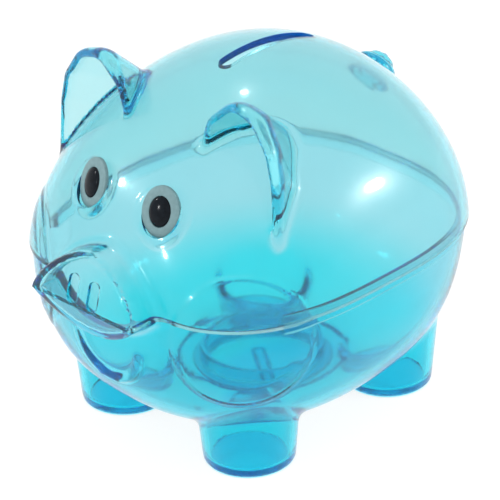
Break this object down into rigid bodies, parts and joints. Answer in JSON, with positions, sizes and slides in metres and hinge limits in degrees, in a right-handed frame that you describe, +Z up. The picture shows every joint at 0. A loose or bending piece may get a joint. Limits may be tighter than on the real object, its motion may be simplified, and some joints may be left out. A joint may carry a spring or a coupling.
{
  "type": "piggy bank",
  "caption": "Translucent plastic piggy bank in two moulded halves, with a coin slot in the back, a push-in belly plug and set-in eyes.",
  "frame": {"origin": "on the floor under the feet, in the middle of the overall width and length", "axes": "+Z up, nose along -Y, +X to the pig's left"},
  "size_m": [0.106, 0.127, 0.1098],
  "materials": {
    "clear_cyan": "glossy translucent injection-moulded plastic, light cyan tint",
    "deep_cyan": "glossy translucent injection-moulded plastic, deeper cyan tint",
    "eye_grey": "semi-matte grey plastic",
    "pupil_black": "glossy black plastic"
  },
  "bodies": {
    "bank": {"upper_shell": "clear_cyan", "lower_shell": "deep_cyan", "eye_left": "eye_grey", "eye_right": "eye_grey", "pupil_left": "pupil_black", "pupil_right": "pupil_black"},
    "plug": {"belly_plug": "deep_cyan"}
  },
  "joints": [
    {"name": "plug_pull", "type": "slide", "parent": "bank", "child": "plug", "axis": [0, 0, -1], "range_m": [0, 0.03]}
  ]
}
